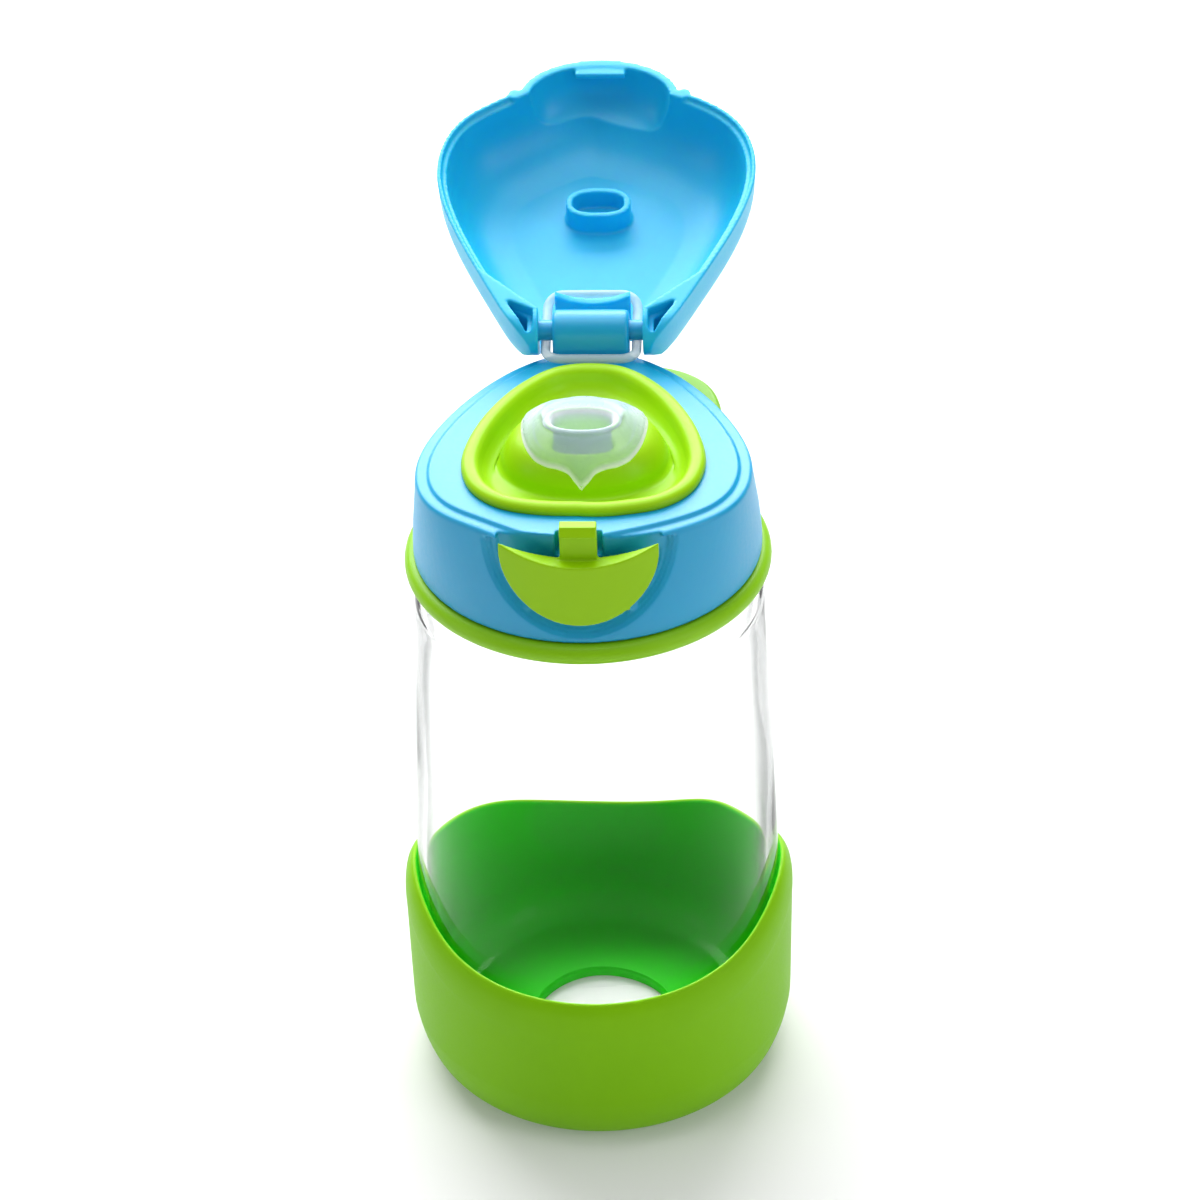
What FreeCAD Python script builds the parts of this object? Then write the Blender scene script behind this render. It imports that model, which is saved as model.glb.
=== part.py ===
import FreeCAD, Part
import math
import os
import re

import Sketcher
from FreeCAD import Placement, Rotation, Vector

# Kids' water bottle with a flip lid, in millimetres. The bottle stands on z = 0 around the Z axis, its
# latch button faces -Y and its lid hinge is at +Y. The lid is placed open, as it rests on its band.

DIMENSIONS = {
    # clear bottle
    "base_height": 2.4,
    "base_dome": 0.6,
    "foot_width": 22.0,
    "belly_radius": 37.3,
    "belly_height": 50.0,
    "chest_radius": 34.6,
    "chest_height": 105.0,
    "shoulder_height": 119.8,
    "wall_thickness": 2.0,
    "base_thickness": 2.8,
    "bead_radius": 30.3,
    "bead_height": 124.3,
    "neck_radius": 25.0,
    "neck_height": 138.0,
    "neck_bore": 22.9,
    # thread between the neck and the inner cap
    "thread_pitch": 4.0,
    "thread_depth": 1.2,
    "thread_turns": 1.25,
    "thread_start": 128.0,
    # soft boot
    "boot_radius": 40.3,
    "boot_height": 52.0,
    "boot_opening": 16.5,
    # strap
    "strap_radius": 36.0,
    "strap_inner": 30.5,
    "strap_height": 4.2,
    "loop_width": 26.0,
    "loop_reach": 66.0,
    # collar
    "collar_radius": 34.1,
    "collar_bottom": 124.4,
    "deck_height": 145.5,
    "deck_thickness": 1.8,
    "plateau_rise": 0.7,
    "plateau_inset": 2.5,
    # inner cap and its seal
    "cap_radius": 28.1,
    "cap_root": 26.6,
    "cap_bottom": 125.0,
    "cap_height": 141.4,
    "cap_plate": 1.7,
    "cap_opening": 13.0,
    "seal_outer": 26.3,
    "seal_inner": 21.6,
    # button
    "button_radius": 15.1,
    "button_height": 144.0,
    "button_gap": 0.5,
    "pivot_radius": 1.0,
    "pivot_offset": 30.7,
    "pivot_height": 130.9,
    # spout
    "spout_height": 156.5,
    "mouth_offset": 5.8,
    # hinge and lid
    "hinge_offset": 35.8,
    "hinge_height": 150.8,
    "pin_radius": 2.05,
    "knuckle_radius": 4.1,
    "knuckle_width": 15.2,
    "ear_radius": 5.0,
    "ear_gap": 20.8,
    "lid_wall": 1.9,
    "lid_rise": 18.0,
    "open_angle": 164.8,
}

# Outlines seen from above: the right half only, from the front centre to the back centre.
DECK_OUTLINE = [(0, -33.6), (19.6, -26.2), (28.8, -18.8), (32.3, -7.5), (28.9, 8.9), (20.6, 23.8),
                (10.4, 34.0), (0, 37.4)]
LID_OUTLINE = [(0, -33.6), (19.6, -26.2), (28.4, -19.2), (32.5, -8.4), (29.9, 8.4), (23.4, 23.4),
               (19.2, 32.0), (14.0, 39.8), (7.6, 43.2), (0, 44.2)]
DISH_OUTLINE = [(0, -23.5), (8.8, -23.0), (16.0, -20.6), (21.2, -15.2), (23.4, -7.2), (22.6, 1.5),
                (19.4, 11.4), (14.2, 20.6), (7.4, 27.1), (0, 28.8)]
APRON_OUTLINE = [(0, -13.4), (1.6, -11.6), (4.6, -9.6), (9.2, -6.6), (12.0, -0.8), (11.4, 4.6), (6.8, 8.6),
                 (0, 9.6)]
SAMPLES = 28

doc = FreeCAD.newDocument("kids_water_bottle")
sheet = doc.addObject("Spreadsheet::Sheet", "Dimensions")
for row, (alias, number) in enumerate(DIMENSIONS.items(), 1):
    sheet.set(f"A{row}", alias)
    sheet.set(f"B{row}", str(number))
    sheet.setAlias(f"B{row}", alias)
doc.recompute()


def dim(expression):
    """The sum of the names and numbers in an expression such as "neck_radius - 2 + wall_thickness"."""
    total = 0.0
    for sign, term in re.findall(r"([+-]?)\s*([a-z_]+|[0-9.]+)", expression):
        amount = float(getattr(sheet, term)) if term[0].isalpha() else float(term)
        total += -amount if sign == "-" else amount
    return total


def bound(expression):
    """The same expression as the document's own objects read it."""
    return re.sub(r"[a-z_]+", lambda name: "Dimensions." + name.group(0), expression)


# ---------------------------------------------------------------- document objects


def turned_body(name, profile, rounds=()):
    """A body turned about Z from (radius, height) corners, with some of its corners rounded."""
    body = doc.addObject("PartDesign::Body", name)
    sketch = body.newObject("Sketcher::SketchObject", name + "_profile")
    plane = next(f for f in body.Origin.OriginFeatures if f.Role == "XZ_Plane")
    sketch.AttachmentSupport = [(plane, "")]
    sketch.MapMode = "FlatFace"
    corners = [Vector(dim(radius), dim(height), 0) for radius, height in profile]
    count = len(corners)
    for i in range(count):
        sketch.addGeometry(Part.LineSegment(corners[i], corners[(i + 1) % count]), False)
    for i in range(count):
        sketch.addConstraint(Sketcher.Constraint("Coincident", i, 2, (i + 1) % count, 1))
    for i, (radius, height) in enumerate(profile):
        if corners[i].x == 0:
            sketch.addConstraint(Sketcher.Constraint("PointOnObject", i, 1, -2))
        else:
            at = sketch.addConstraint(Sketcher.Constraint("DistanceX", -1, 1, i, 1, corners[i].x))
            sketch.setExpression(f"Constraints[{at}]", bound(radius))
        at = sketch.addConstraint(Sketcher.Constraint("DistanceY", -1, 1, i, 1, corners[i].y))
        sketch.setExpression(f"Constraints[{at}]", bound(height))
    turn = body.newObject("PartDesign::Revolution", name + "_turn")
    turn.Profile = sketch
    turn.ReferenceAxis = (sketch, ["V_Axis"])
    turn.Angle = 360
    body.Tip = turn
    doc.recompute()
    for number, (corner, size) in enumerate(rounds):
        x, z = corners[corner].x, corners[corner].y
        solid = body.Tip
        picked = [f"Edge{k + 1}" for k, e in enumerate(solid.Shape.Edges) if on_circle(e, x, z)]
        fillet = body.newObject("PartDesign::Fillet", f"{name}_round_{number}")
        fillet.Base = (solid, picked)
        fillet.Radius = size
        body.Tip = fillet
        doc.recompute()
    return body


def on_circle(edge, radius, height):
    """True for a level circle about Z of this radius and height."""
    curve = edge.Curve
    return (isinstance(curve, Part.Circle) and abs(curve.Radius - radius) < 0.01
            and abs(curve.Center.z - height) < 0.01 and edge.Length > radius)


def feature(name, shape, placement=None):
    """A piece whose shape is worked out by the functions below."""
    piece = doc.addObject("Part::Feature", name)
    piece.Shape = shape
    if placement:
        piece.Placement = placement
    return piece


def fused(name, base, tool):
    piece = doc.addObject("Part::Fuse", name)
    piece.Base = base
    piece.Tool = tool
    piece.Refine = True
    return piece


# ---------------------------------------------------------------- shapes


def smooth_loop(points):
    """A smooth closed curve through points that run counter-clockwise from the front."""
    curve = Part.BSplineCurve()
    curve.interpolate(Points=points, PeriodicFlag=True)
    return curve


def loop_points(outline, inset=0.0):
    """SAMPLES points along a symmetric outline, moved inwards by inset."""
    half = [Vector(x, y, 0) for x, y in outline]
    curve = smooth_loop(half + [Vector(-p.x, p.y, 0) for p in reversed(half[1:-1])])
    first, last = curve.FirstParameter, curve.LastParameter
    points = []
    for i in range(SAMPLES):
        at = first + (last - first) * i / SAMPLES
        along = curve.tangent(at)[0]
        points.append(curve.value(at) + Vector(-along.y, along.x, 0) * inset)
    return points


def circle_points(radius, like):
    """Points of a circle in the same directions as the points of another loop."""
    return [Vector(p.x, p.y, 0).normalize() * radius for p in like]


def section(points, height):
    """A level wire through loop points."""
    return Part.Wire(smooth_loop([Vector(p.x, p.y, height) for p in points]).toShape())


def oval_points(width, depth, centre, squareness=2.0):
    """Points of an oval, half-width by half-depth, centred at y = centre."""
    points = []
    for i in range(SAMPLES):
        angle = 2 * math.pi * i / SAMPLES - math.pi / 2
        c, s = math.cos(angle), math.sin(angle)
        points.append(Vector(width * math.copysign(abs(c) ** (2 / squareness), c),
                             centre + depth * math.copysign(abs(s) ** (2 / squareness), s), 0))
    return points


def loft(levels, ruled=False):
    """A solid through (points, height) sections."""
    return Part.makeLoft([section(points, height) for points, height in levels], True, ruled)


def prism(points, bottom, top):
    face = Part.Face(section(points, bottom))
    return face.extrude(Vector(0, 0, top - bottom))


def box(x0, x1, y0, y1, z0, z1):
    return Part.makeBox(x1 - x0, y1 - y0, z1 - z0, Vector(x0, y0, z0))


def disc(radius, height, front, back):
    """A solid disc whose axis lies along Y at x = 0."""
    return Part.makeCylinder(radius, back - front, Vector(0, front, height), Vector(0, 1, 0))


def rod(radius, half_length, y, z):
    """A round bar along X."""
    return Part.makeCylinder(radius, 2 * half_length, Vector(-half_length, y, z), Vector(1, 0, 0))


def rounded(solid, radius, wanted):
    """The solid with the edges that wanted() picks rounded."""
    return solid.makeFillet(radius, [e for e in solid.Edges if wanted(e)])


def level_at(height, tolerance=0.02):
    """Picks edges that lie at one height."""
    return lambda e: abs(e.BoundBox.ZMin - height) < tolerance and abs(e.BoundBox.ZMax - height) < tolerance


def thread(radius, inward, start):
    """A helical ridge standing out of a cylinder, or into a bore if inward."""
    depth, pitch = dim("thread_depth"), dim("thread_pitch")
    side = -1 if inward else 1
    helix = Part.makeHelix(pitch, pitch * dim("thread_turns"), radius)
    profile = [(-0.3 * side, 1.0), (-0.3 * side, -1.0), (depth * side, -0.45), (depth * side, 0.45)]
    corners = [Vector(radius + out, 0, up) for out, up in profile]
    outline = Part.makePolygon(corners + corners[:1])
    ridge = Part.Wire(helix).makePipeShell([outline], True, True)
    ridge.translate(Vector(0, 0, start))
    return ridge


# ---------------------------------------------------------------- bottle, boot and strap


def bottle():
    blank = turned_body("bottle_blank", [
        ("0", "base_height + base_dome"),
        ("foot_width", "base_height"),
        ("belly_radius", "base_height"),
        ("belly_radius", "belly_height"),
        ("chest_radius", "chest_height"),
        ("chest_radius", "shoulder_height"),
        ("bead_radius", "shoulder_height"),
        ("bead_radius", "bead_height"),
        ("neck_radius", "bead_height"),
        ("neck_radius", "neck_height"),
        ("neck_bore", "neck_height"),
        ("neck_bore", "shoulder_height + wall_thickness"),
        ("chest_radius - wall_thickness", "shoulder_height - 4"),
        ("chest_radius - wall_thickness", "chest_height"),
        ("belly_radius - wall_thickness", "belly_height"),
        ("belly_radius - wall_thickness", "base_height + base_thickness"),
        ("0", "base_height + base_dome + base_thickness"),
    ], rounds=[(2, 10.0), (15, 8.0), (5, 2.4), (12, 3.0), (9, 0.7), (10, 0.7), (7, 0.6)])
    ridge = feature("neck_thread", thread(dim("neck_radius"), False, dim("thread_start")))
    return fused("bottle_body", blank, ridge)


def rim_cutter():
    """Everything above the boot's wavy rim: low at the front, high at the sides, lowest at the back."""
    heights = [(0, 34.4), (20, 34.9), (28, 36.9), (33, 39.8), (37, 43.6), (41, 48.0), (48, 50.5)]
    right = [Vector(x, 0, z) for x, z in heights]
    curve = Part.BSplineCurve()
    curve.interpolate([Vector(-p.x, 0, p.z) for p in reversed(right[1:])] + right)
    lid = Part.makePolygon([right[-1], Vector(48, 0, 90), Vector(-48, 0, 90), Vector(-48, 0, 50.5)])
    face = Part.Face(Part.Wire([curve.toShape()] + lid.Edges))
    face.translate(Vector(0, -60, 5.8))
    return face.extrude(Vector(0, 120, -11.6))


def boot():
    blank = turned_body("boot_blank", [
        ("boot_opening", "0"),
        ("boot_radius - 1.1", "0"),
        ("boot_radius", "boot_height - 14"),
        ("belly_radius + 1.6", "boot_height"),
        ("belly_radius - 0.1", "boot_height"),
        ("belly_radius", "belly_height"),
        ("belly_radius", "base_height"),
        ("boot_opening", "base_height"),
    ], rounds=[(1, 5.0), (6, 10.0), (2, 8.0), (0, 0.8)])
    cutter = feature("rim_cutter", rim_cutter())
    shell = doc.addObject("Part::Cut", "base_boot")
    shell.Base = blank
    shell.Tool = cutter
    return shell


def strap():
    """A flat ring with a bulging outer edge, and a rounded loop behind it for a finger."""
    low, height, bulge = dim("shoulder_height + 0.1"), dim("strap_height"), 1.9
    middle, edge = low + height / 2, dim("strap_radius") - bulge
    inner = dim("strap_inner")
    nose = Part.Arc(Vector(edge, 0, low), Vector(edge + bulge, 0, middle), Vector(edge, 0, low + height))
    rest = Part.makePolygon([Vector(edge, 0, low + height), Vector(inner, 0, low + height),
                             Vector(inner, 0, low), Vector(edge, 0, low)])
    ring = Part.Face(Part.Wire([nose.toShape()] + rest.Edges)).revolve(Vector(), Vector(0, 0, 1), 360)
    width, reach = dim("loop_width"), dim("loop_reach")
    outer = [(0, 10), (width - 8, 12), (width, 26), (width, 46), (width - 3.4, 59), (14, reach - 0.8),
             (0, reach)]
    loop = prism(loop_points(outer), low, low + height)
    hole = prism(loop_points(outer, 6.5), low - 1, low + height + 1)
    hole = hole.common(box(-40, 40, dim("strap_radius") + 3, 90, 0, 200))
    bore = Part.makeCylinder(inner, 20, Vector(0, 0, low - 5))
    loop = rounded(loop.cut(hole), 1.4, lambda e: e.BoundBox.YMin > 38 or e.BoundBox.YMax > 64)
    return feature("carry_strap", ring.fuse(loop).cut(bore))


# ---------------------------------------------------------------- cap: collar, dish, spout, inner cap


def collar_envelope(inset, bottom, top):
    """The collar's outer form between two heights: round below, the deck's outline above."""
    low, high = dim("collar_bottom"), dim("deck_height")
    deck = loop_points(DECK_OUTLINE, inset)
    foot = circle_points(dim("collar_radius") - inset, deck)

    def at(height):
        share = (height - low) / (high - low)
        share = share * share * (1.6 - 0.6 * share)
        return [a + (b - a) * share for a, b in zip(foot, deck)]

    steps = [bottom + (top - bottom) * i / 4 for i in range(5)]
    return loft([(at(height), height) for height in steps])


def knuckle():
    """The block that stands on the deck and holds the hinge pin."""
    y, z, radius = dim("hinge_offset"), dim("hinge_height"), dim("knuckle_radius")
    half, foot = dim("knuckle_width") / 2, dim("deck_height - 1")
    barrel = rod(radius, half, y, z)
    corners = [(y - radius, z), (y - radius, foot), (y - radius + 2, foot - 6), (y + radius, foot), (y + radius, z)]
    outline = [Vector(-half, *corner) for corner in corners]
    post = Part.Face(Part.makePolygon(outline + outline[:1])).extrude(Vector(2 * half, 0, 0))
    block = barrel.fuse(post).removeSplitter()
    ends = lambda e: e.BoundBox.XLength < 0.01 and e.BoundBox.ZMax > z + 1
    return rounded(block, 0.9, ends)


def collar():
    low, high = dim("collar_bottom"), dim("deck_height")
    outer = collar_envelope(0.0, low, high)
    outer = rounded(outer, 0.9, level_at(high))
    deck_inset = dim("plateau_inset")
    plateau = prism(loop_points(DECK_OUTLINE, deck_inset), high - 0.5, high + dim("plateau_rise"))
    plateau = rounded(plateau, 0.5, level_at(high + dim("plateau_rise")))
    body = outer.fuse(plateau)
    hollow = collar_envelope(2.1, low - 1, high - dim("deck_thickness"))
    # housing behind the button
    centre, reach = dim("button_height"), dim("button_radius") + dim("button_gap")
    back = Vector(0, 20.3, 100)
    housing = disc(reach + 1.4, centre, -40, -20).cut(Part.makeCylinder(48.6, 100, back))
    housing = housing.fuse(box(-6, 6, -30, -26.6, dim("cap_height") + 0.3, high))
    body = body.cut(hollow.cut(housing))
    # shallow scoop around the button, then the pocket itself and the slot for its tab
    for wider, depth in ((1.2, 1.1), (2.0, 0.7), (2.8, 0.3)):
        scoop = disc(reach + wider, centre, -45, -20).cut(collar_envelope(depth, low, high))
        body = body.cut(scoop.common(box(-40, 40, -45, 0, low, high - 0.9)))
    pocket = disc(reach, centre, -45, -20).cut(Part.makeCylinder(50, 100, back))
    slot = box(-4.4, 4.4, -40, -28.0, high - 4.0, high + 5)
    body = body.cut(pocket.fuse(slot))
    # opening for the dish
    opening = prism(loop_points(DISH_OUTLINE, 2.0), high - 5, high + 5)
    body = body.cut(opening)
    body = body.fuse(knuckle())
    body = body.cut([rod(dim("pin_radius") + 0.05, 20, dim("hinge_offset"), dim("hinge_height")),
                     rod(dim("pivot_radius") + 0.05, 9.8, -dim("pivot_offset"), dim("pivot_height"))])
    return feature("collar_shell", body)


def mound(grow=0.0):
    """The hill in the middle of the dish that carries the spout."""
    steps = [(16.2, 13.6, -0.2, 142.6), (15.3, 12.9, -0.3, 146.4), (13.6, 11.3, -0.5, 149.2),
             (11.4, 9.2, -0.8, 150.6)]
    return loft([(oval_points(width + grow, depth + grow, middle, 2.2), height + grow)
                 for width, depth, middle, height in steps])


def mouth(grow, bottom, top):
    """The oval passage through the spout."""
    return prism(oval_points(5.6 + grow, 3.1 + grow, -dim("mouth_offset"), 2.6), bottom, top)


def spout():
    """An oval mouth above a thin apron that lies on the mound and runs down to a point in front."""
    top, middle = dim("spout_height"), -dim("mouth_offset")
    apron = mound(0.5).common(prism(loop_points(APRON_OUTLINE), 146, 153)).cut(mound())
    steps = [(11.2, 8.8, middle + 4.6, 150.6), (10.9, 8.7, middle + 4.2, 152.4),
             (10.0, 7.9, middle + 2.9, 154.6), (8.6, 6.8, middle + 1.8, top - 0.7), (8.0, 6.2, middle + 1.3, top)]
    trunk = loft([(oval_points(width, depth, at, 2.4), height) for width, depth, at, height in steps], True)
    return feature("spout", trunk.fuse(apron).cut(mouth(0.0, 140, top + 1)))


def dish():
    """A dished tray with a rolled rim, and the mound in the middle that carries the spout."""
    deck = dim("deck_height + plateau_rise")
    floor, crest = deck - 2.8, deck + 1.9
    rim = prism(loop_points(DISH_OUTLINE), deck, crest)
    rim = rim.cut(prism(loop_points(DISH_OUTLINE, 3.4), deck - 1, crest + 1))
    rim = rounded(rim, 1.5, level_at(crest))
    plug = prism(loop_points(DISH_OUTLINE, 2.2), floor - 1.6, deck + 0.2)
    bowl = loft([(loop_points(DISH_OUTLINE, 3.4), deck + 0.4), (loop_points(DISH_OUTLINE, 3.7), deck - 1.0),
                 (loop_points(DISH_OUTLINE, 5.6), floor)])
    under = loft([(oval_points(14.2, 11.6, -0.2, 2.2), floor - 1.7), (oval_points(11.6, 9.2, -0.6, 2.2), 148.0)])
    tray = plug.cut(bowl).fuse([rim, mound()])
    return feature("spout_dish", tray.cut([under, mouth(0.3, 130, 160)]))


def inner_cap():
    blank = turned_body("cap_blank", [
        ("cap_opening", "cap_height - cap_plate"),
        ("cap_root", "cap_height - cap_plate"),
        ("cap_root", "cap_bottom"),
        ("cap_radius", "cap_bottom"),
        ("cap_radius", "cap_height"),
        ("cap_opening", "cap_height"),
    ], rounds=[(4, 0.8)])
    start = dim("thread_start") - dim("thread_pitch") / 2
    ridge = feature("cap_thread", thread(dim("cap_root"), True, start))
    return fused("inner_cap", blank, ridge)


def neck_seal():
    return turned_body("neck_seal", [
        ("seal_inner", "neck_height + 0.02"),
        ("seal_outer", "neck_height + 0.02"),
        ("seal_outer", "cap_height - cap_plate - 0.05"),
        ("seal_inner", "cap_height - cap_plate - 0.05"),
    ], rounds=[(0, 0.3), (3, 0.3)])


# ---------------------------------------------------------------- button


def button():
    """A half-moon plate with a hollowed top face, pivots at its foot and the catch tab."""
    radius, centre = dim("button_radius"), dim("button_height")
    front = Part.makeCylinder(34.8, 60, Vector(0, 0, 110))
    back = Part.makeCylinder(33.1, 60, Vector(0, 0, 110))
    under_tray = back.cut(disc(34.0, centre + 30.3, -50, 0))
    plate = disc(radius, centre, -45, -20).common(front)
    plate = plate.cut([disc(34.0, centre + 32.1, -50, 0), under_tray, box(-40, 40, -31.1, 0, 100, 200),
                       box(-40, 40, -50, 0, centre + 1.7, 200)])
    tab = box(-3.5, 3.5, -32.2, -29.9, centre - 2.2, 149.6)
    nose = Part.Face(Part.makePolygon([Vector(-3.5, -32.0, 147.7), Vector(-3.5, -33.2, 147.7),
                                       Vector(-3.5, -32.2, 149.6), Vector(-3.5, -32.0, 147.7)]))
    y, z, pivot = -dim("pivot_offset"), dim("pivot_height"), dim("pivot_radius")
    lug = box(-5.5, 5.5, -34.0, y, z - pivot, z + pivot)
    return feature("latch_button", plate.fuse([tab, nose.extrude(Vector(7, 0, 0)), lug, rod(pivot, 9.5, y, z)]))


def button_spring():
    """A small coil between the collar and the back of the button."""
    coil, thick = Part.makeHelix(0.75, 2.25, 1.9), 0.28
    corners = [Vector(1.9 + x * thick, 0, z * thick) for x, z in ((-1, -1), (1, -1), (1, 1), (-1, 1), (-1, -1))]
    wire = Part.Wire(coil).makePipeShell([Part.makePolygon(corners)], True, True)
    wire.rotate(Vector(), Vector(1, 0, 0), -90)
    wire.translate(Vector(0, -32.4, 137.6))
    return feature("button_spring", wire)


# ---------------------------------------------------------------- lid and hinge


def lid_form(inset, rim, crown):
    """The lid's domed form over its outline, from the rim's height to the crown's."""
    points = loop_points(LID_OUTLINE, inset)
    steps = [(0.0, 1.0), (0.3, 0.99), (0.58, 0.95), (0.8, 0.86), (0.93, 0.74), (1.0, 0.58)]
    return loft([([p * size for p in points], rim + share * (crown - rim)) for share, size in steps])


def visor_form(inset, rim, top):
    """The bulge over the button at the lid's front."""
    width, depth = 16.6 - inset, 11.6 - inset
    return loft([(oval_points(width, depth, -25.4, 2.1), rim),
                 (oval_points(width - 0.4, depth - 0.5, -25.4, 2.1), rim + 0.45 * (top - rim)),
                 (oval_points(width - 1.8, depth - 2.0, -25.0, 2.1), rim + 0.78 * (top - rim)),
                 (oval_points(width - 6.0, depth - 6.0, -22.0, 2.1), top)])


def side_profile():
    """The lid's side view: level rim, round ears about the pin and a sloping back."""
    y, z, radius = dim("hinge_offset"), dim("hinge_height"), dim("ear_radius")
    lean = radius * math.sqrt(0.5)
    below = Vector(-40, y, z - radius)
    behind = Vector(-40, y + lean, z + lean)
    arc = Part.Arc(below, Vector(-40, y + radius, z), behind)
    rest = Part.makePolygon([behind, behind + Vector(0, -14, 14), Vector(-40, -50, z + lean + 14),
                             Vector(-40, -50, z - radius), below])
    return Part.Face(Part.Wire([arc.toShape()] + rest.Edges)).extrude(Vector(80, 0, 0))


def mirrored_prism(corners, bottom, top):
    """Two straight-sided prisms, one each side of the middle plane."""
    outline = [Vector(x, y, bottom) for x, y in corners]
    right = Part.Face(Part.makePolygon(outline + outline[:1])).extrude(Vector(0, 0, top - bottom))
    return [right, right.mirror(Vector(), Vector(1, 0, 0))]


def lid():
    rim = dim("hinge_height - ear_radius")
    crown, wall, gap, y = rim + dim("lid_rise"), dim("lid_wall"), dim("ear_gap") / 2, dim("hinge_offset")
    visor_top = rim + 12.5
    outer = lid_form(0.0, rim, crown).common(side_profile()).fuse(visor_form(0.0, rim, visor_top))
    # the hollow stops at slanting walls in front of the ears
    beyond = mirrored_prism([(23.5, 22.4), (gap, 34.2), (gap, 60), (50, 60), (50, 22.4)], rim - 1, crown + 1)
    inner = lid_form(wall, rim - 0.5, crown - wall).cut(beyond)
    body = outer.cut(inner.fuse(visor_form(wall, rim - 0.5, visor_top - wall)))
    step = prism(loop_points(LID_OUTLINE, 0.95), rim - 1, rim + 1.1).cut(beyond)
    pockets = mirrored_prism([(16.9, 31.8), (16.2, 33.6), (13.0, 38.6), (12.6, 38.6), (12.6, 34.8)],
                             rim - 1, rim + 8)
    pockets += mirrored_prism([(16.9, 31.8), (16.2, 33.6), (12.8, 39.2), (12.0, 39.4), (11.4, 38.4), (11.4, 34.6)],
                              rim - 1, rim + 2.5)
    notch = box(-gap, gap, y - 8.6, 60, rim - 2, crown + 2)
    bores = rod(dim("pin_radius"), gap + 1.7, y, dim("hinge_height"))
    body = body.cut([step.cut(disc(17.2, rim, -50, -20)), notch, bores] + pockets)
    # the saddle wall in front of the knuckle, the plug ring over the spout's mouth and the catch ledge
    saddle = box(-7.6, 7.6, y - 10.4, y - 8.6, rim + 2.8, crown - 1.2)
    saddle = saddle.cut(disc(14.0, rim - 7.4, 20, 30))
    middle = -dim("mouth_offset") - 0.4
    ring = prism(oval_points(6.7, 4.2, middle, 2.5), dim("spout_height") + 0.4, crown - 1.0)
    ring = ring.cut(prism(oval_points(5.3, 2.9, middle, 2.5), 150, crown - 2.6))
    ledge = box(-5.2, 5.2, -36.4, -32.6, rim + 0.2, rim + 1.6)
    nubs = [Part.makeCylinder(1.4, 4.0, Vector(side * 17.6, -26.9, rim)) for side in (-1, 1)]
    body = body.fuse([part.common(outer) for part in (saddle, ring, ledge)] + nubs)
    return feature("lid_shell", body, opened())


def opened():
    """The turn about the hinge pin that takes closed pieces to their open place."""
    return Placement(Vector(), Rotation(Vector(1, 0, 0), -dim("open_angle")),
                     Vector(0, dim("hinge_offset"), dim("hinge_height")))


def hinge_pin():
    pin = doc.addObject("Part::Cylinder", "hinge_pin")
    pin.setExpression("Radius", "Dimensions.pin_radius")
    pin.setExpression("Height", "Dimensions.ear_gap + 3.2")
    half = dim("ear_gap + 3.2") / 2
    pin.Placement = Placement(Vector(-half, dim("hinge_offset"), dim("hinge_height")),
                              Rotation(Vector(0, 1, 0), 90))
    return pin


def hinge_band():
    """A soft loop: across the knuckle's foot, under the pin and around the back of the lid's saddle."""
    low, half, thick = dim("deck_height + plateau_rise + 0.3"), 10.1, 1.9
    path = [(29.1, low), (38.3, low), (49.1, low + 4.6)]
    outline = [Vector(-half, y, z) for y, z in path]
    outline += [Vector(-half, y - 0.5, z + thick) for y, z in reversed(path[1:])]
    outline.append(Vector(-half, path[0][0], low + thick))
    strip = Part.Face(Part.makePolygon(outline + outline[:1])).extrude(Vector(2 * half, 0, 0))
    hole = box(2.1 - half, half - 2.1, 31.2, 47.0, low - 1, low + 9)
    loop = strip.cut(rounded(hole, 0.5, lambda e: e.BoundBox.ZLength > 1))
    return feature("hinge_band", loop)


PIECES = [bottle(), boot(), strap(), collar(), inner_cap(), neck_seal(), dish(), spout(), button(),
          button_spring(), lid(), hinge_pin(), hinge_band()]
doc.recompute()

for piece in doc.Objects:
    if "Invalid" in piece.State or "Error" in piece.State:
        raise RuntimeError(f"{piece.Label} did not build: {piece.State}")
os.makedirs("parts", exist_ok=True)
for piece in PIECES:
    if piece.Shape.isNull() or not piece.Shape.isValid() or len(piece.Shape.Solids) != 1:
        raise RuntimeError(f"{piece.Label} is not one valid solid")
    piece.Shape.exportStep(f"parts/{piece.Label}.step")
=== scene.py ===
import math

import bmesh
import bpy
import numpy as np
from mathutils import Matrix, Vector


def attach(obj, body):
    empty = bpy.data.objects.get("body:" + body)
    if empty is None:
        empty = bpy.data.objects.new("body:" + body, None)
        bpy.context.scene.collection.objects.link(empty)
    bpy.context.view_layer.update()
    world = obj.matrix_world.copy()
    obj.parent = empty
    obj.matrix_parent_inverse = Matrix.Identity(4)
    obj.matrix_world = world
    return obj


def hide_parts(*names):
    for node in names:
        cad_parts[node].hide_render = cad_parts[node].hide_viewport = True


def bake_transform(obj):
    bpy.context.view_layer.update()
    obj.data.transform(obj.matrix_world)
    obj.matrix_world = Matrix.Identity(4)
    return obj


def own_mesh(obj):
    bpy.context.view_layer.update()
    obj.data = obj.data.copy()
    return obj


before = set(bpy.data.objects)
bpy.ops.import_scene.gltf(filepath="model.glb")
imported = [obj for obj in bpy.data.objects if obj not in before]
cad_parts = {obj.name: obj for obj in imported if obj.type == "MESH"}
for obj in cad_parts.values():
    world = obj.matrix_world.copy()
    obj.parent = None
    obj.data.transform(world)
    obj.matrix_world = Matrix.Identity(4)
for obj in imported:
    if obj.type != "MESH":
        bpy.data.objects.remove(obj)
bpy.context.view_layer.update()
MM = 0.001
TURN = 2 * math.pi
AROUND = 192
PLUG_RADIUS = 1.5
FLOOR_DROP = -0.2
CLEAR_IOR = 1.14  # far below a real plastic's, which turned the wall milky against the pale floor
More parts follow.
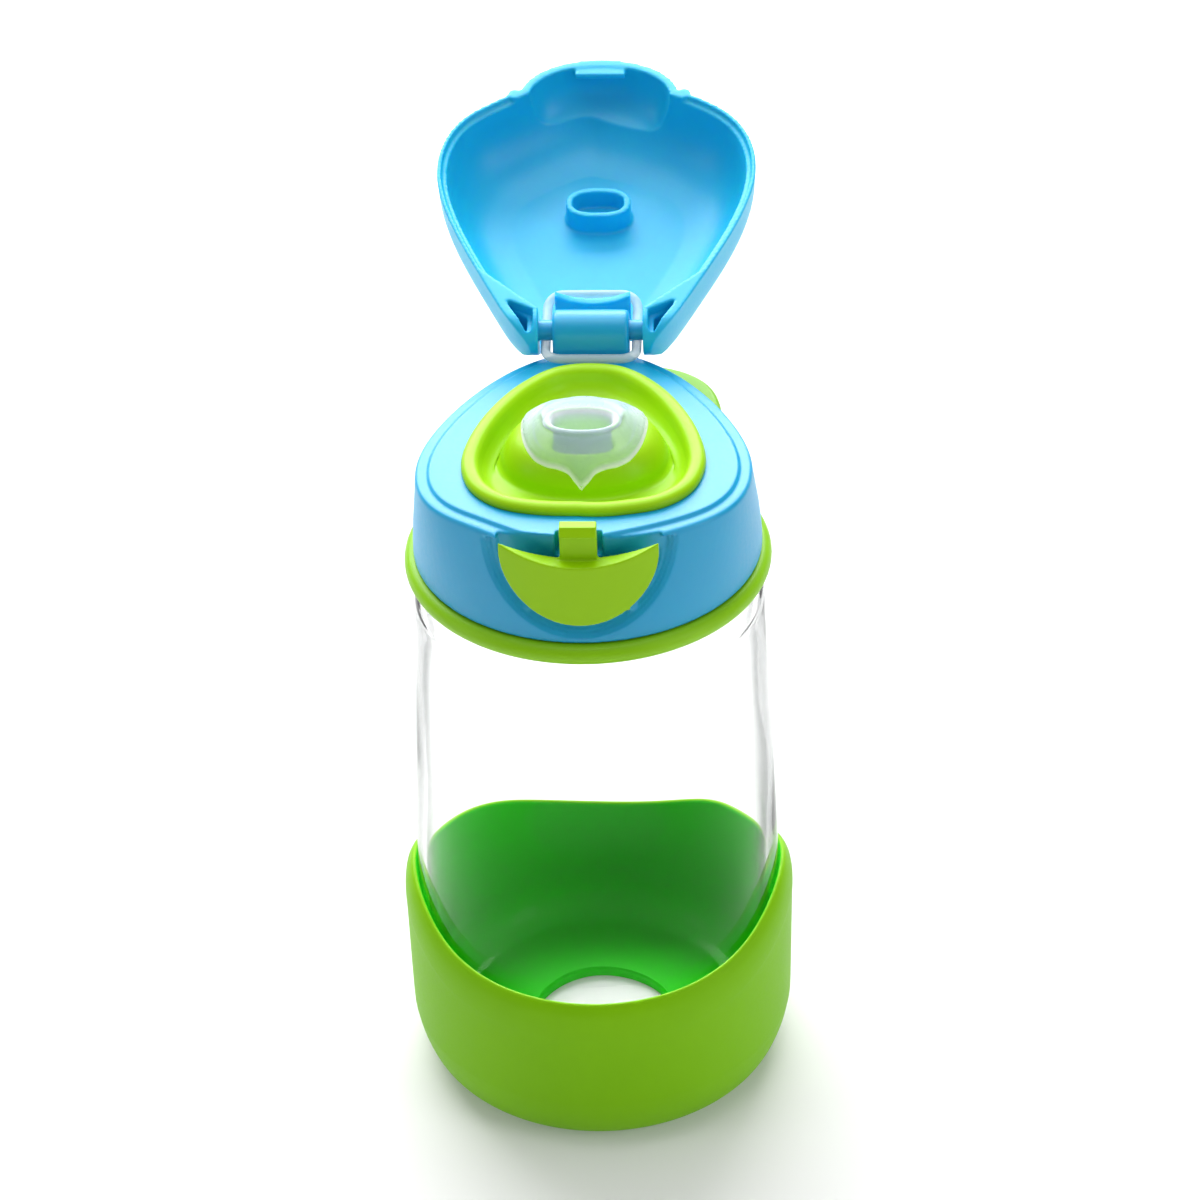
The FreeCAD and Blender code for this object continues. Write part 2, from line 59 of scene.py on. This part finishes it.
# Painted shade colour for the clear wall's edges.
CLEAR_EDGE_SHADE = (0.24, 0.25, 0.245, 1)
BOOT_INSIDE = (37.5, 37.9)  # the boot's inner face ends between these distances from the axis; the painted shade fades out between them

# Outlines seen from above, in millimetres: the right half, from the front centre to the back centre.
DISH_OUTLINE = [(0, -23.5), (8.8, -23.0), (16.0, -20.6), (21.2, -15.2), (23.4, -7.2), (22.6, 1.5),
                (19.4, 11.4), (14.2, 20.6), (7.4, 27.1), (0, 28.8)]
APRON_OUTLINE = [(0, -13.6), (1.3, -13.1), (2.7, -12.3), (4.6, -11.6), (7.1, -10.7), (9.5, -8.8),
                 (11.3, -5.0), (12.1, 0.0), (12.0, 4.6), (10.4, 9.6), (6.6, 13.4), (0, 14.6)]


# ---------------------------------------------------------------- mesh helpers


def add_mesh(name, points, faces):
    """A mesh object from points in millimetres."""
    mesh = bpy.data.meshes.new(name)
    mesh.from_pydata([Vector(p) * MM for p in points], [], faces)
    mesh.validate()
    obj = bpy.data.objects.new(name, mesh)
    bpy.context.scene.collection.objects.link(obj)
    bm = bmesh.new()
    bm.from_mesh(mesh)
    bmesh.ops.recalc_face_normals(bm, faces=bm.faces)
    bm.to_mesh(mesh)
    bm.free()
    for polygon in mesh.polygons:
        polygon.use_smooth = True
    return obj


def skin(name, rings, closed=False, caps=(False, False)):
    """A surface over rings of equally many points; closed joins the last ring to the first."""
    count = len(rings[0])
    points = [p for ring in rings for p in ring]
    faces = []
    last = len(rings) if closed else len(rings) - 1
    for i in range(last):
        a, b = i * count, (i + 1) % len(rings) * count
        for j in range(count):
            k = (j + 1) % count
            faces.append((a + j, a + k, b + k, b + j))
    for wanted, ring in zip(caps, (0, len(rings) - 1)):
        if wanted:
            middle = len(points)
            points.append(tuple(np.mean(np.array(rings[ring]), axis=0)))
            faces += [(ring * count + j, ring * count + (j + 1) % count, middle) for j in range(count)]
    return add_mesh(name, points, faces)


def spline(knots, steps):
    """Points along a smooth open curve through the knots, steps between each two."""
    p = np.array(knots, float)
    p = np.vstack([2 * p[0] - p[1], p, 2 * p[-1] - p[-2]])
    out = []
    for i in range(1, len(p) - 2):
        a, b, c, d = p[i - 1], p[i], p[i + 1], p[i + 2]
        for t in np.arange(steps) / steps:
            out.append(0.5 * (2 * b + (c - a) * t + (2 * a - 5 * b + 4 * c - d) * t ** 2
                              + (3 * b - a - 3 * c + d) * t ** 3))
    out.append(p[-2])
    return np.array(out)


def outline(half, inset=0.0):
    """A dense closed curve through a mirrored half outline, moved inwards by inset."""
    half = np.array(half, float)
    loop = np.vstack([half, half[1:-1][::-1] * [-1, 1]])
    knots = np.vstack([loop[-2:], loop, loop[:3]])
    curve = spline(knots, 40)[2 * 40 + 40:-(2 * 40 + 1)]
    ahead = np.roll(curve, -1, axis=0) - np.roll(curve, 1, axis=0)
    ahead /= np.linalg.norm(ahead, axis=1)[:, None]
    return curve + np.column_stack([-ahead[:, 1], ahead[:, 0]]) * inset


def reach(curve, centre=0.0):
    """How far a closed curve lies from (0, centre) in each of AROUND directions."""
    angle = np.arctan2(curve[:, 1] - centre, curve[:, 0])
    far = np.hypot(curve[:, 0], curve[:, 1] - centre)
    order = np.argsort(angle)
    wanted = np.arange(AROUND) / AROUND * TURN - math.pi
    return np.interp(wanted, angle[order], far[order], period=TURN)


def oval(width, depth, middle, centre=0.0, squareness=2.0):
    """reach() of an oval of half-width and half-depth about (0, middle)."""
    t = np.arange(1440) / 1440 * TURN
    c, s = np.cos(t), np.sin(t)
    curve = np.column_stack([width * np.sign(c) * abs(c) ** (2 / squareness),
                             middle + depth * np.sign(s) * abs(s) ** (2 / squareness)])
    return reach(curve, centre)


def ring(far, height, centre=0.0):
    """Points at these distances from (0, centre), at one height or one for each direction."""
    angle = np.arange(AROUND) / AROUND * TURN - math.pi
    height = np.broadcast_to(height, AROUND)
    return np.column_stack([far * np.cos(angle), centre + far * np.sin(angle), height])


def remeshed(node, name, voxel, smoothing, plugs=()):
    """A copy of a CAD node with its sharp edges softened, as a mould leaves them.

    plugs are points where a ball fills a small hidden bore.
    """
    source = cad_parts[node]
    mesh = source.data.copy()
    obj = bpy.data.objects.new(name, mesh)
    bpy.context.scene.collection.objects.link(obj)
    bm = bmesh.new()
    bm.from_mesh(mesh)
    bmesh.ops.remove_doubles(bm, verts=bm.verts, dist=1e-6)
    for plug in plugs:
        at = Matrix.Translation(Vector(plug) * MM)
        bmesh.ops.create_icosphere(bm, subdivisions=3, radius=PLUG_RADIUS * MM, matrix=at)
    bm.to_mesh(mesh)
    bm.free()
    change = obj.modifiers.new("Remesh", "REMESH")
    change.mode = "VOXEL"
    change.voxel_size = voxel * MM
    change = obj.modifiers.new("Smooth", "SMOOTH")
    change.factor = 0.5
    change.iterations = smoothing
    made = bpy.data.meshes.new_from_object(obj.evaluated_get(bpy.context.evaluated_depsgraph_get()))
    obj.modifiers.clear()
    obj.data = made
    for polygon in made.polygons:
        polygon.use_smooth = True
    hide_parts(node)
    return obj


def smoothed(rings, steps=4, closed=False):
    """More rings between the given ones, along smooth curves."""
    stack = np.array(rings).reshape(len(rings), -1)
    if closed:
        stack = np.vstack([stack[-2:], stack, stack[:3]])
        dense = spline(stack, steps)[2 * steps + steps:-(2 * steps + 1)]
        dense = dense[:len(rings) * steps]
    else:
        dense = spline(stack, steps)
    return list(dense.reshape(len(dense), -1, 3))


# ---------------------------------------------------------------- materials


class Nodes:
    """Short calls for building one material's nodes."""

    def __init__(self, name):
        self.material = bpy.data.materials.new(name)
        self.material.use_nodes = True
        self.tree = self.material.node_tree
        self.shader = self.tree.nodes["Principled BSDF"]
        self.place = self.add("ShaderNodeTexCoord").outputs["Object"]

    def add(self, kind, **values):
        node = self.tree.nodes.new(kind)
        for key, value in values.items():
            setattr(node, key, value)
        return node

    def link(self, source, target):
        self.tree.links.new(source, target)

    def put(self, socket, value):
        """A socket's value, or a link to it."""
        if isinstance(value, bpy.types.NodeSocket):
            self.link(value, socket)
        else:
            socket.default_value = value

    def noise(self, scale, detail=2.0, roughness=0.5, stretch=None):
        node = self.add("ShaderNodeTexNoise")
        node.inputs["Scale"].default_value = scale
        node.inputs["Detail"].default_value = detail
        node.inputs["Roughness"].default_value = roughness
        at = self.place
        if stretch:
            shape = self.add("ShaderNodeMapping")
            shape.inputs["Scale"].default_value = stretch
            self.link(at, shape.inputs["Vector"])
            at = shape.outputs["Vector"]
        self.link(at, node.inputs["Vector"])
        return node.outputs["Fac"]

    def math(self, operation, a, b=0.0, clamp=False):
        node = self.add("ShaderNodeMath", operation=operation, use_clamp=clamp)
        self.put(node.inputs[0], a)
        self.put(node.inputs[1], b)
        return node.outputs[0]

    def ramp(self, value, low, high, to_low=0.0, to_high=1.0):
        node = self.add("ShaderNodeMapRange", interpolation_type="SMOOTHSTEP")
        for socket, amount in zip(("Value", "From Min", "From Max", "To Min", "To Max"),
                                  (value, low, high, to_low, to_high)):
            self.put(node.inputs[socket], amount)
        return node.outputs[0]

    def blend(self, share, a, b):
        node = self.add("ShaderNodeMix", data_type="RGBA")
        self.put(node.inputs[0], share)
        self.put(node.inputs[6], a)
        self.put(node.inputs[7], b)
        return node.outputs[2]

    def bump(self, height, strength, distance, before=None):
        node = self.add("ShaderNodeBump")
        node.inputs["Strength"].default_value = strength
        node.inputs["Distance"].default_value = distance
        self.link(height, node.inputs["Height"])
        if before:
            self.link(before, node.inputs["Normal"])
        return node.outputs["Normal"]

    def set(self, **values):
        for key, value in values.items():
            self.put(self.shader.inputs[key.replace("_", " ")], value)


def colour(red, green, blue):
    """A display colour from 0 to 255 as the shader takes it."""
    return tuple((c / 255 / 12.92 if c <= 10 else ((c / 255 + 0.055) / 1.055) ** 2.4) for c in
                 (red, green, blue)) + (1.0,)


def plastic(name, light, dark, roughness, grain, shine=0.5, coat=0.0, soft=0.0):
    """Moulded plastic or silicone: slow colour drift, uneven gloss, a fine grain and faint sink waves."""
    m = Nodes(name)
    drift = m.noise(22.0, 3.0, 0.55)
    fine = m.noise(1400.0, 2.0, 0.6)
    m.set(Base_Color=m.blend(m.ramp(drift, 0.25, 0.75), dark, light),
          Roughness=m.math("ADD", m.ramp(drift, 0.2, 0.8, roughness - 0.03, roughness + 0.03),
                           m.ramp(fine, 0.3, 0.7, -0.02, 0.03)))
    wave = m.bump(m.noise(60.0, 1.0), 0.12, 0.0004)
    m.set(Normal=m.bump(fine, grain, 0.00006, wave))
    m.shader.inputs["Coat Weight"].default_value = coat
    m.shader.inputs["Coat Roughness"].default_value = 0.12
    m.shader.inputs["Subsurface Weight"].default_value = soft
    m.shader.inputs["Subsurface Radius"].default_value = (0.0006, 0.004, 0.007)
    m.shader.inputs["Specular IOR Level"].default_value = shine
    m.shader.inputs["IOR"].default_value = 1.48
    return m


def lets_light_through(m):
    """Lamps shine through the clear piece, so that its shadow stays pale."""
    clear = m.add("ShaderNodeBsdfTransparent")
    path = m.add("ShaderNodeLightPath")
    mix = m.add("ShaderNodeMixShader")
    m.link(path.outputs["Is Shadow Ray"], mix.inputs[0])
    m.link(m.shader.outputs[0], mix.inputs[1])
    m.link(clear.outputs[0], mix.inputs[2])
    m.link(mix.outputs[0], m.tree.nodes["Material Output"].inputs["Surface"])


def outer_side(m, across, front, far):
    """Positive on faces that look away from the axis or down, negative on faces that look inwards or up."""
    facing = m.add("ShaderNodeSeparateXYZ")
    m.link(m.add("ShaderNodeTexCoord").outputs["Normal"], facing.inputs[0])
    away = m.math("ADD", m.math("MULTIPLY", facing.outputs[0], across),
                  m.math("MULTIPLY", facing.outputs[1], front))
    return m.math("SUBTRACT", m.math("DIVIDE", away, far), facing.outputs[2])


BLUE = plastic("BluePlastic", colour(0, 168, 216), colour(0, 162, 210), 0.40, 0.22, 0.6, soft=0.5)
# Painted light: a lighter copy of the blue plastic for the lid, standing in for the light that reaches it;
# its stronger subsurface is real translucency.
LIT_LID_BLUE = plastic("LidBluePlasticPaintedLight", colour(26, 194, 236), colour(20, 188, 230), 0.42, 0.22, 0.5, soft=0.9)
LIME = plastic("LimePlastic", colour(158, 212, 0), colour(150, 205, 0), 0.40, 0.10, 0.22, 0.03)
BOOT = plastic("BootSilicone", colour(130, 196, 0), colour(124, 190, 0), 0.48, 0.25, 0.15)
STRAP = plastic("StrapSilicone", colour(144, 206, 10), colour(138, 200, 6), 0.42, 0.22, 0.3)
INNER = plastic("InnerPlastic", colour(225, 230, 232), colour(216, 223, 226), 0.45, 0.2)
STEEL = plastic("SpringSteel", colour(170, 172, 176), colour(150, 152, 158), 0.3, 0.3)
STEEL.shader.inputs["Metallic"].default_value = 1.0


def painted_inner_shade(m, inner):
    """Painted shade: faces that look inwards or up, next to the clear wall, are painted darker and greener,
    standing in for the shade on the boot's inner face.
    """
    apart = m.add("ShaderNodeSeparateXYZ")
    m.link(m.place, apart.inputs[0])
    across, front = apart.outputs[:2]
    far = m.math("SQRT", m.math("ADD", m.math("MULTIPLY", across, across), m.math("MULTIPLY", front, front)))
    # Painted shade mask: the boot's inner face, where it looks inwards or up.
    inside = m.math("MULTIPLY", m.ramp(far, BOOT_INSIDE[1] * MM, BOOT_INSIDE[0] * MM),
                    m.ramp(outer_side(m, across, front, far), 0.1, -0.1))
    before = m.shader.inputs["Base Color"].links[0].from_socket
    m.set(Base_Color=m.blend(inside, before, inner))


# Painted shade: the boot's inner face gets a darker, greener colour.
painted_inner_shade(BOOT, colour(30, 206, 0))

CLEAR = Nodes("ClearPlastic")
# Painted shade: the base colour darkens towards the silhouette along a wavering border, standing in for the
# dark bands at the clear wall's edges.
facing = CLEAR.add("ShaderNodeLayerWeight")
facing.inputs["Blend"].default_value = 0.5
wander = CLEAR.ramp(CLEAR.noise(26.0, 1.0, 0.4, (1, 1, 0.4)), 0.3, 0.7, -0.09, 0.09)
edge_shade = CLEAR.ramp(CLEAR.math("ADD", facing.outputs["Facing"], wander), 0.60, 0.84)
CLEAR.set(Base_Color=CLEAR.blend(edge_shade, (1, 1, 1, 1), CLEAR_EDGE_SHADE),
          Roughness=CLEAR.ramp(CLEAR.noise(30.0), 0.5, 0.9, 0.0, 0.015))
CLEAR.set(Normal=CLEAR.bump(CLEAR.noise(24.0, 1.0, 0.4, (1, 1, 0.3)), 0.06, 0.0006))
CLEAR.shader.inputs["Transmission Weight"].default_value = 1.0
CLEAR.shader.inputs["IOR"].default_value = CLEAR_IOR
lets_light_through(CLEAR)


def milky(name, tone, body):
    """Cloudy silicone: what lies behind shows through the middle and the edges turn more opaque; marked edges
    get a painted white highlight.
    """
    m = Nodes(name)
    cloud = m.noise(120.0, 3.0)
    facing = m.add("ShaderNodeLayerWeight")
    facing.inputs["Blend"].default_value = 0.35
    edge = m.math("POWER", facing.outputs["Facing"], 2.0)
    # Painted highlight: marked edges are painted white and made more opaque.
    painted_highlight = m.add("ShaderNodeAttribute", attribute_name="PaintedHighlightEdge").outputs["Fac"]
    edge = m.math("ADD", edge, painted_highlight)
    body_colour = m.blend(m.ramp(cloud, 0.3, 0.7), colour(*tone), colour(*(c - 6 for c in tone)))
    m.set(Base_Color=m.blend(painted_highlight, body_colour, colour(246, 250, 250)),
          Roughness=m.ramp(m.noise(300.0), 0.3, 0.7, 0.24, 0.32),
          Alpha=m.math("ADD", m.ramp(cloud, 0.2, 0.8, body - 0.02, body + 0.02),
                       m.math("MULTIPLY", edge, 0.5), True))
    m.set(Normal=m.bump(m.noise(700.0), 0.08, 0.0001))
    m.shader.inputs["IOR"].default_value = 1.41
    lets_light_through(m)
    return m


MILKY = milky("SpoutSilicone", (184, 204, 214), 0.68)
BAND = milky("BandSilicone", (196, 216, 222), 0.60)


def paint(obj, m):
    obj.data.materials.clear()
    obj.data.materials.append(m.material)
    for polygon in obj.data.polygons:
        polygon.material_index = 0


def finished(obj, body, m):
    paint(obj, m)
    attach(obj, body)
    return obj


# ---------------------------------------------------------------- clear bottle


def bottle():
    """The clear wall, outside and in, with the thread standing out of the neck."""
    outside = spline([(0, 5.0), (10, 4.5), (22, 2.5), (27.5, 2.42), (31.4, 3.4), (34.8, 6.4), (36.9, 11.0),
                      (37.3, 20), (37.25, 35), (37.1, 50), (36.5, 66), (35.8, 82), (35.2, 95), (34.7, 107),
                      (34.55, 112), (34.1, 116), (32.6, 118.9), (30.9, 119.8), (30.3, 120.4), (30.3, 123.7),
                      (29.7, 124.3), (25.6, 124.4), (25.0, 125.0), (25.0, 130.0), (25.0, 134.0),
                      (25.0, 137.2), (24.7, 137.9)], 10)
    inside = spline([(23.2, 138.0), (22.9, 137.7), (22.9, 130), (22.9, 123.4), (23.6, 121.9), (26.5, 119.8),
                     (30.3, 117.8), (32.2, 115.0), (32.6, 111), (32.75, 105), (33.4, 92), (34.3, 75),
                     (35.1, 55), (35.3, 40), (35.3, 20), (34.8, 13.0), (32.6, 8.6), (29.0, 6.2), (24, 5.5),
                     (14, 6.8), (0, 7.8)], 8)
    angle = np.arange(AROUND) / AROUND * TURN - math.pi
    rings = []
    for far, high in outside:
        far = np.full(AROUND, far)
        if 127 < high < 135 and far[0] > 24:
            for turn in range(3):
                middle = 128.0 + 4.0 * ((angle / TURN) % 1.0 + turn)
                ridge = np.clip((1.0 - abs(high - middle)) / 0.55, 0, 1) * (middle < 133.0)
                far = far + 1.15 * ridge * (far < 25.5)
        rings.append(ring(far, high))
    for far, high in inside:
        swell = 0.10 * np.sin(3 * angle + high / 9) + 0.07 * np.sin(5 * angle - high / 6 + 1)
        rings.append(ring(far + (swell if 12 < high < 112 else 0), high))
    rings = [r for r in rings if np.hypot(r[0][0], r[0][1]) > 0.01]
    obj = skin("BottleBody", rings, caps=(True, True))
    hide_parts("bottle_body")
    return finished(obj, "bottle", CLEAR)


# ---------------------------------------------------------------- boot


def boot():
    """The soft boot: a wavy rolled rim, low at the front and back and high at the sides."""
    rim = np.array([(0, 38.2), (30, 38.7), (50, 40.6), (60, 43.0), (70, 45.6), (80, 47.0), (90, 47.3),
                    (100, 45.4), (110, 42.6), (120, 40.5), (133, 39.0), (145, 37.0), (155, 33.8),
                    (170, 30.8), (180, 30.3)])
    angle = np.degrees(np.arange(AROUND) / AROUND * TURN - math.pi)
    from_front = abs((angle + 90 + 180) % 360 - 180)
    top = np.interp(from_front, rim[:, 0], rim[:, 1])
    kernel = np.ones(7) / 7
    for _ in range(3):
        top = np.convolve(np.concatenate([top[-3:], top, top[:3]]), kernel, "valid")
    profile = [(14.6, 1.6, 0), (14.9, 0.35, 0), (15.9, 0, 0), (25, 0, 0), (31.6, 0, 0), (34.4, 0.9, 0),
               (36.9, 3.2, 0), (38.5, 7, 0), (39.4, 11, 0), (39.7, 15, 0), (40.0, -10.5, 1),
               (40.1, -7.5, 1), (40.0, -4.8, 1), (39.6, -2.4, 1), (38.9, -0.8, 1), (38.2, -0.1, 1),
               (37.6, -0.4, 1), (37.4, -1.6, 1), (37.4, -6, 1), (37.4, 14, 0), (36.8, 8.4, 0),
               (34.6, 4.6, 0), (31.4, 2.7, 0), (27.2, 2.3, 0), (16.1, 2.3, 0), (15.0, 2.2, 0)]
    rings = [ring(np.full(AROUND, far), high + top * from_top) for far, high, from_top in profile]
    obj = skin("BaseBoot", smoothed(rings, 5, closed=True), closed=True)
    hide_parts("base_boot")
    return finished(obj, "bottle", BOOT)


# ---------------------------------------------------------------- dish and spout

HILL = [(16.9, 14.3, -0.2, 143.65), (16.2, 13.6, -0.2, 144.3), (15.6, 13.1, -0.3, 146.0),
        (14.6, 12.2, -0.4, 147.9), (13.4, 11.1, -0.5, 149.3), (12.0, 9.8, -0.6, 150.2),
        (10.4, 8.3, -0.8, 150.7)]
MOUTH = -5.8


def hill_rings():
    return [ring(oval(width, depth, middle, 0.0, 2.2), height) for width, depth, middle, height in HILL]


def hill_height(far):
    """The hill's height at these distances from the axis, one for each direction."""
    levels = [(oval(w, d, m, 0.0, 2.2), h) for w, d, m, h in reversed(HILL)]
    out = np.zeros(AROUND)
    for i in range(AROUND):
        out[i] = np.interp(far[i], [r[i] for r, _ in levels], [h for _, h in levels])
    return out


def dish():
    """A tray with a rolled rim, rising to the hill that carries the spout."""
    edge = [(2.2, 143.6), (1.2, 145.0), (0.3, 146.0), (0.0, 146.7), (0.2, 147.4), (0.8, 147.95),
            (1.7, 148.15), (2.6, 147.95), (3.2, 147.4), (3.6, 146.5), (4.0, 145.5), (4.8, 144.5),
            (5.9, 143.85)]
    rings = [ring(reach(outline(DISH_OUTLINE, inset)), height) for inset, height in edge]
    hill = hill_rings()
    floor = np.maximum(np.hypot(hill[0][:, 0], hill[0][:, 1]) + 0.5,
                       reach(outline(DISH_OUTLINE, 7.4)))
    rings.append(ring(floor, 143.6))
    rings += hill
    hole = oval(5.9, 3.4, MOUTH, 0.0, 2.6)
    inner = oval(5.9, 3.4, MOUTH, MOUTH, 2.6)
    rings = smoothed(rings, 4)
    far_hole = ring(inner, 150.6, MOUTH)
    last = rings[-1]
    for share in (0.3, 0.6, 0.85, 1.0):
        step = last * (1 - share) + far_hole * share
        rings.append(step)
    rings.append(far_hole + [0, 0, -2.0])
    under = ring(reach(outline(DISH_OUTLINE, 7.0)), 142.0)
    rings += [ring(oval(10.8, 8.8, -0.8, 0.0, 2.2), 148.4), ring(oval(14.0, 11.6, -0.3, 0.0, 2.2), 142.2),
              under, ring(reach(outline(DISH_OUTLINE, 2.3)), 142.0)]
    obj = skin("SpoutDish", rings, closed=True)
    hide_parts("spout_dish")
    return finished(obj, "cap", LIME)


def spout():
    """A low soft trunk with a slot in its top; its skirt lies on the hill and ends in a point in front."""
    skirt = reach(outline(APRON_OUTLINE))
    foot = hill_height(skirt) + 0.15
    crown = oval(8.0, 6.3, -3.9, 0.0, 2.2)
    rings = [ring(skirt - 0.3, foot - 0.2), ring(skirt + 0.05, foot + 0.1), ring(skirt, foot + 0.4),
             ring(skirt - 0.25, foot + 0.7)]
    for share, rise in ((0.08, 0.16), (0.2, 0.34), (0.38, 0.56), (0.58, 0.76), (0.8, 0.92), (1.0, 1.0)):
        rings.append(ring(skirt + (crown - skirt) * share, foot + 0.7 + (155.2 - foot) * rise))
    for width, depth, height in ((7.5, 4.9, 156.1), (7.2, 4.6, 156.45), (6.8, 4.2, 156.6), (6.35, 3.8, 156.5),
                                 (5.95, 3.4, 156.1), (5.7, 3.2, 155.4)):
        rings.append(ring(oval(width, depth, MOUTH + 0.2, MOUTH, 2.3), height, MOUTH))
    rings += [ring(oval(5.6, 3.1, MOUTH, MOUTH, 2.6), height, MOUTH) for height in (154.0, 152.0, 149.0)]
    low = ring(oval(6.5, 4.0, MOUTH, MOUTH, 2.6), 149.2, MOUTH)
    rings += [low, ring(oval(7.2, 4.3, MOUTH, MOUTH, 2.4), 150.1, MOUTH),
              ring(skirt * 0.8, hill_height(skirt * 0.8) + 0.02)]
    obj = skin("Spout", rings, closed=True)
    # Painted highlight: white lines painted along the skirt's edge and round the inside of the mouth.
    painted_highlight = obj.data.attributes.new("PaintedHighlightEdge", "FLOAT", "POINT")
    share = np.zeros(len(rings))
    share[[0, 1, 2, 3, 4, 13, 14, 15]] = 0.6, 0.9, 1.0, 0.7, 0.15, 0.3, 0.8, 0.4
    painted_highlight.data.foreach_set("value", np.repeat(share, AROUND).astype(np.float32))
    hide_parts("spout")
    return finished(obj, "cap", MILKY)


def band():
    """A soft rounded loop: in front of the knuckle, under the pin and up behind the lid's saddle."""
    half, front, back, corner = 9.05, 30.3, 47.95, 3.2
    path = []
    for side_x, side_y, start in ((1, -1, -90), (1, 1, 0), (-1, 1, 90), (-1, -1, 180)):
        for step in range(13):
            turn = math.radians(start + step * 7.5)
            middle = (front if side_y < 0 else back) - side_y * corner
            path.append((side_x * (half - corner) + corner * math.cos(turn),
                         middle + corner * math.sin(turn)))
    path = np.array(path)
    height = np.interp(path[:, 1], [29, 37, 40, 48], [147.5, 147.5, 148.3, 151.7])
    rings = []
    for i, (x, y) in enumerate(path):
        before, after = path[i - 1], path[(i + 1) % len(path)]
        along = (after - before) / np.linalg.norm(after - before)
        turn = np.arange(16) / 16 * TURN
        out = 0.98 * np.cos(turn)
        rings.append(np.column_stack([x + out * along[1], y - out * along[0],
                                      height[i] + 0.92 * np.sin(turn)]))
    obj = skin("HingeBand", rings, closed=True)
    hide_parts("hinge_band")
    paint(obj, BAND)
    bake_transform(obj)


bottle()
boot()
dish()
spout()
pivot_bores = [(side * 9.6, -30.2, 130.9) for side in (1, -1)]
finished(remeshed("collar_shell", "CollarShell", 0.28, 7, pivot_bores), "cap", BLUE)
finished(remeshed("lid_shell", "LidShell", 0.3, 5), "lid", LIT_LID_BLUE)
finished(remeshed("latch_button", "LatchButton", 0.2, 5), "latch", LIME)
finished(remeshed("carry_strap", "CarryStrap", 0.4, 6), "bottle", STRAP)
band()
spring = finished(remeshed("button_spring", "ButtonSpring", 0.08, 1), "cap", STEEL)
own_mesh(spring)
for node, m in (("inner_cap", INNER), ("neck_seal", BAND), ("hinge_pin", BLUE)):
    paint(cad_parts[node], m)

# ---------------------------------------------------------------- floor, light and camera

floor_rings = [ring(np.full(AROUND, far), FLOOR_DROP) for far in (6000, 3000, 400, 60)]
floor = skin("Floor", floor_rings, caps=(False, True))
ground = Nodes("FloorPaint")
ground.set(Base_Color=ground.blend(ground.noise(6.0), (0.70, 0.70, 0.70, 1), (0.73, 0.73, 0.73, 1)),
           Roughness=0.8)
ground.shader.inputs["Emission Color"].default_value = (1, 1, 1, 1)
ground.shader.inputs["Emission Strength"].default_value = 0.14
paint(floor, ground)


def lamp(name, place, target, size, watts):
    """A soft white panel at place that faces target."""
    data = bpy.data.lights.new(name, "AREA")
    data.shape = "RECTANGLE"
    data.size, data.size_y = size
    data.energy = watts
    obj = bpy.data.objects.new(name, data)
    bpy.context.scene.collection.objects.link(obj)
    obj.location = place
    obj.rotation_mode = "QUATERNION"
    obj.rotation_quaternion = (Vector(target) - Vector(place)).to_track_quat("-Z", "Y")


lamp("Behind", (-0.2, 1.1, 0.95), (0, 0, 0.12), (1.7, 1.1), 42.0)
lamp("Top", (0.0, 0.1, 1.5), (0, 0, 0), (1.0, 1.0), 8.0)
lamp("Right", (1.0, -0.5, 0.5), (0, 0, 0.09), (0.35, 0.9), 3.0)
lamp("Left", (-1.0, -0.3, 0.5), (0, 0, 0.09), (0.25, 0.9), 1.4)

world = bpy.data.worlds.new("Studio")
bpy.context.scene.world = world
world.use_nodes = True
sky = world.node_tree
place = sky.nodes.new("ShaderNodeTexCoord")
apart = sky.nodes.new("ShaderNodeSeparateXYZ")
shade = sky.nodes.new("ShaderNodeMapRange")
shade.inputs["From Min"].default_value = -0.1
shade.inputs["From Max"].default_value = 0.7
shade.inputs["To Min"].default_value = 0.05
shade.inputs["To Max"].default_value = 0.34
sky.links.new(place.outputs["Generated"], apart.inputs[0])
sky.links.new(apart.outputs[2], shade.inputs["Value"])
sky.links.new(shade.outputs[0], sky.nodes["Background"].inputs["Strength"])
sky.nodes["Background"].inputs["Color"].default_value = (1, 1, 1, 1)

camera = bpy.data.objects.new("Camera", bpy.data.cameras.new("Camera"))
bpy.context.scene.collection.objects.link(camera)
bpy.context.scene.camera = camera
AIM = Vector((0.00203, 0, 0.11039))
DISTANCE = 0.812
elevation, azimuth, roll = math.radians(35.26), math.radians(3.14), math.radians(-1.83)
back = Vector((math.sin(azimuth) * math.cos(elevation), -math.cos(azimuth) * math.cos(elevation),
               math.sin(elevation)))
right = Vector((math.cos(azimuth), math.sin(azimuth), 0))
up = right.cross(-back)
right, up = (math.cos(roll) * right + math.sin(roll) * up, -math.sin(roll) * right + math.cos(roll) * up)
turn = Matrix((right, up, back)).transposed().to_4x4()
camera.matrix_world = Matrix.Translation(AIM + back * DISTANCE) @ turn
camera.data.lens = 123.4
camera.data.sensor_width = 36
camera.data.clip_end = 20

bpy.context.scene.view_settings.view_transform = "Standard"
